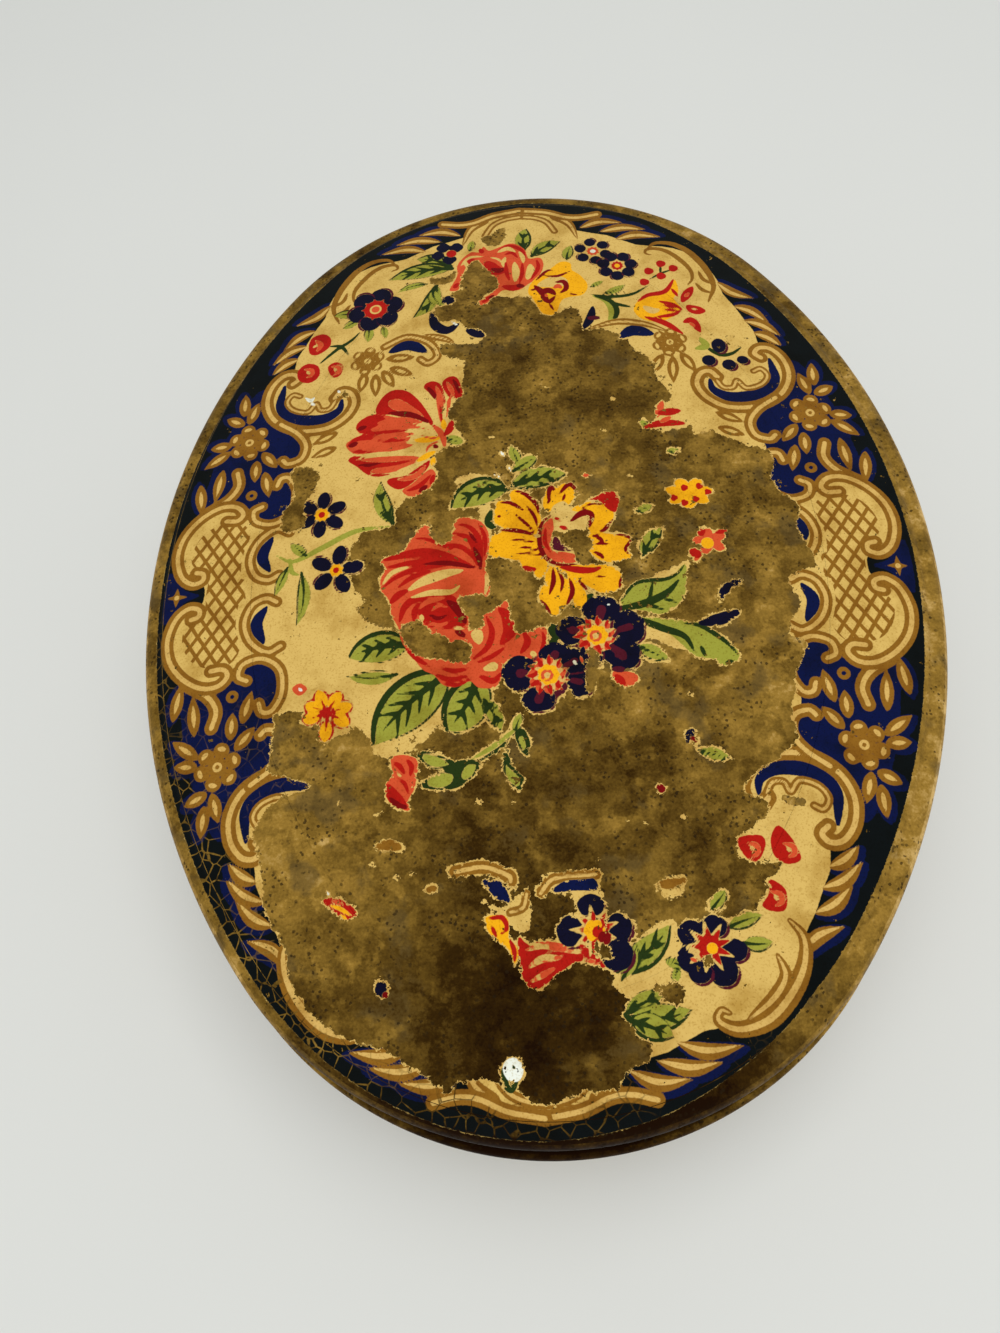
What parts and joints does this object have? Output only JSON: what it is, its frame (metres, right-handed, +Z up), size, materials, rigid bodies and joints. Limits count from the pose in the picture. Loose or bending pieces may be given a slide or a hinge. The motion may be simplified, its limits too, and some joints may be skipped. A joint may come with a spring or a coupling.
{
  "type": "trinket box",
  "caption": "Oval pressed-brass trinket box with a lift-off crowned slip lid, a hemmed and lock-seamed wall and a double-seamed base.",
  "frame": {"origin": "middle of the box's footprint, on the surface that it stands on", "axes": "+Y along the oval's long axis towards the top of the lid's picture, +X across it, +Z up out of the lid"},
  "size_m": [0.129, 0.1676, 0.0507],
  "materials": {
    "gold_lacquer": "aged gold lacquer over brass, satin",
    "printed_lid": "brass sheet with a worn printed floral ornament, satin"
  },
  "bodies": {
    "box": {"body_wall": "gold_lacquer", "base": "gold_lacquer"},
    "lid": {"lid": "printed_lid"}
  },
  "joints": [
    {"name": "lid_lift", "type": "slide", "parent": "box", "child": "lid", "axis": [0, 0, 1], "range_m": [0, 0.045]}
  ]
}
